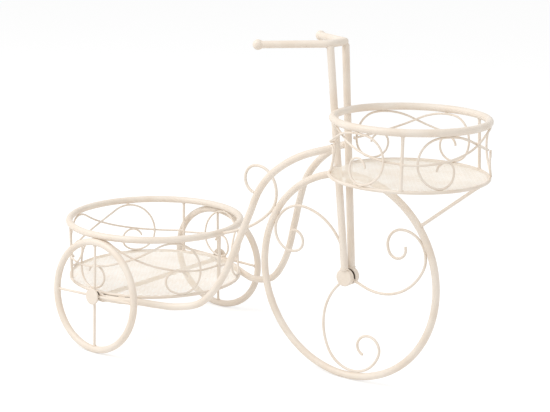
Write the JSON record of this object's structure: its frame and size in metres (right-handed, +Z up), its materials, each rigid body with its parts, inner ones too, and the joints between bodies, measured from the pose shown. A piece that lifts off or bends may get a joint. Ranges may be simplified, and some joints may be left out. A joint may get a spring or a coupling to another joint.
{
  "type": "flower cart stand",
  "caption": "Tricycle-shaped steel plant stand with a tall scroll-spoked front wheel, small turning rear wheels and round baskets for flower pots.",
  "frame": {"origin": "on the ground, under the middle of the whole stand", "axes": "+Z up, +X forward from the rear wheels to the front wheel, +Y to the left of someone facing forward"},
  "size_m": [0.8213, 0.3617, 0.563],
  "materials": {
    "powder_coated_steel": "satin cream powder coat",
    "wire_mesh": "satin cream powder coat on fine expanded mesh",
    "zinc_plated_steel": "zinc plated"
  },
  "bodies": {
    "root": {"frame_tube_right": "powder_coated_steel", "frame_tube_left": "powder_coated_steel", "fork_leg_right": "powder_coated_steel", "fork_leg_left": "powder_coated_steel", "handlebar": "powder_coated_steel", "grip_ball_right": "powder_coated_steel", "grip_ball_left": "powder_coated_steel", "hub_disc_right": "powder_coated_steel", "hub_disc_left": "powder_coated_steel", "front_hub_sleeve": "powder_coated_steel", "front_axle_pin": "zinc_plated_steel", "front_wheel_rim": "powder_coated_steel", "scroll_spoke_1": "powder_coated_steel", "scroll_spoke_2": "powder_coated_steel", "scroll_spoke_3": "powder_coated_steel", "rear_axle_rod": "powder_coated_steel", "basket_strut": "powder_coated_steel", "centre_scroll": "powder_coated_steel", "front_basket_rim": "powder_coated_steel", "front_basket_ring": "powder_coated_steel", "front_basket_floor": "wire_mesh", "front_basket_post_1": "powder_coated_steel", "front_basket_post_2": "powder_coated_steel", "front_basket_scroll_1": "powder_coated_steel", "front_basket_scroll_2": "powder_coated_steel", "front_basket_scroll_3": "powder_coated_steel", "front_basket_scroll_4": "powder_coated_steel", "front_basket_scroll_5": "powder_coated_steel", "front_basket_scroll_6": "powder_coated_steel", "rear_basket_rim": "powder_coated_steel", "rear_basket_ring": "powder_coated_steel", "rear_basket_floor": "wire_mesh", "rear_basket_post_1": "powder_coated_steel", "rear_basket_post_2": "powder_coated_steel", "rear_basket_post_3": "powder_coated_steel", "rear_basket_scroll_1": "powder_coated_steel", "rear_basket_scroll_2": "powder_coated_steel", "rear_basket_scroll_3": "powder_coated_steel", "rear_basket_scroll_4": "powder_coated_steel", "rear_basket_scroll_5": "powder_coated_steel", "rear_basket_scroll_6": "powder_coated_steel", "rear_wheel_right_pin": "zinc_plated_steel", "rear_wheel_right_spacer": "zinc_plated_steel", "rear_wheel_right_clip": "zinc_plated_steel", "rear_wheel_left_pin": "zinc_plated_steel", "rear_wheel_left_spacer": "zinc_plated_steel", "rear_wheel_left_clip": "zinc_plated_steel"},
    "rear_wheel_right": {"rear_wheel_right_rim": "powder_coated_steel", "rear_wheel_right_cross": "powder_coated_steel", "rear_wheel_right_cap": "powder_coated_steel"},
    "rear_wheel_left": {"rear_wheel_left_rim": "powder_coated_steel", "rear_wheel_left_cross": "powder_coated_steel", "rear_wheel_left_cap": "powder_coated_steel"}
  },
  "joints": [
    {"name": "rear_wheel_right_spin", "type": "hinge", "parent": "root", "child": "rear_wheel_right", "pos_m": [-0.24095, -0.1675, 0.10024], "axis": [0.0313, 0.9969, -0.0715], "continuous": true},
    {"name": "rear_wheel_left_spin", "type": "hinge", "parent": "root", "child": "rear_wheel_left", "pos_m": [-0.24095, 0.1675, 0.10024], "axis": [-0.0313, 0.9969, 0.0715], "continuous": true}
  ]
}
